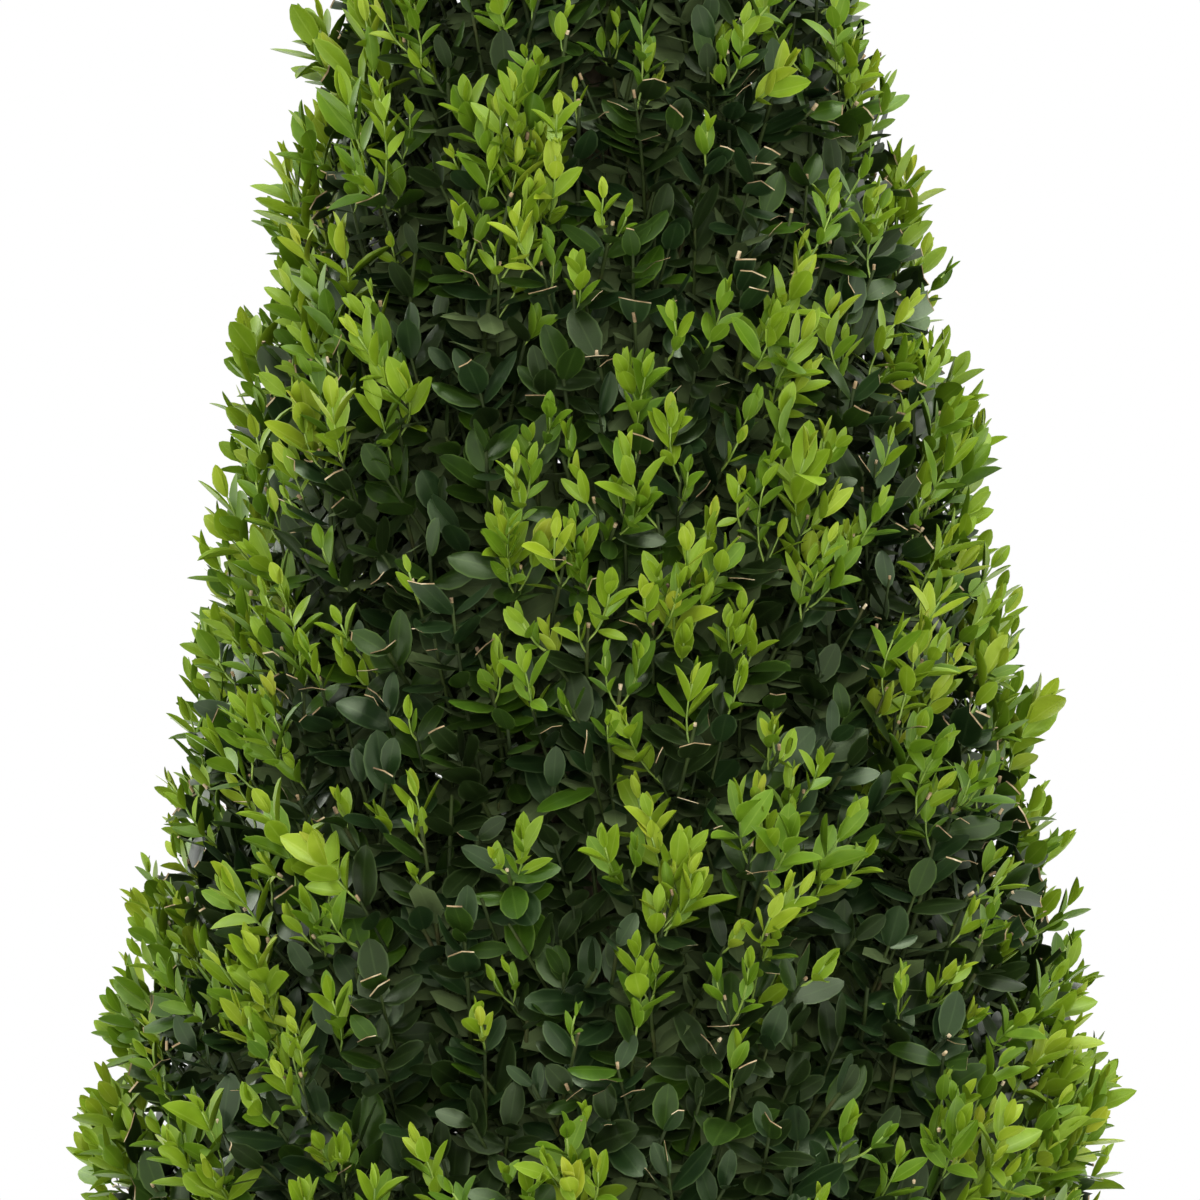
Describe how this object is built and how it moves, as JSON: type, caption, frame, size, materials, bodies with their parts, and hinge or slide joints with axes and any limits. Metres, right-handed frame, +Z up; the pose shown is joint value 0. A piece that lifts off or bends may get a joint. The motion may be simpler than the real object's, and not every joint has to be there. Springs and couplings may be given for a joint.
{
  "type": "boxwood cone topiary",
  "caption": "Small-leaved evergreen shrub clipped to a tall narrow cone, densely leaved to the ground on a single woody stem.",
  "frame": {"origin": "middle of the flat cut under the stem, at ground level", "axes": "+Z up along the stem; X and Y level, with -Y towards the side that was looked at"},
  "size_m": [0.3949, 0.3989, 1.0199],
  "materials": {
    "bark": "thin, finely cracked grey-tan bark, matt",
    "foliage": "small oval evergreen leaves: older ones dark green and slightly glossy, young ones yellow-green"
  },
  "bodies": {
    "root": {"stem": "bark", "bough_lower_1": "bark", "bough_lower_2": "bark", "bough_lower_3": "bark", "bough_lower_4": "bark", "bough_lower_5": "bark", "bough_middle_1": "bark", "bough_middle_2": "bark", "bough_middle_3": "bark", "bough_middle_4": "bark", "bough_upper_1": "bark", "bough_upper_2": "bark", "bough_upper_3": "bark", "foliage_lower_1": "foliage", "foliage_lower_2": "foliage", "foliage_lower_3": "foliage", "foliage_lower_4": "foliage", "foliage_lower_5": "foliage", "foliage_middle_1": "foliage", "foliage_middle_2": "foliage", "foliage_middle_3": "foliage", "foliage_middle_4": "foliage", "foliage_upper_1": "foliage", "foliage_upper_2": "foliage", "foliage_upper_3": "foliage", "foliage_top": "foliage"}
  },
  "joints": []
}
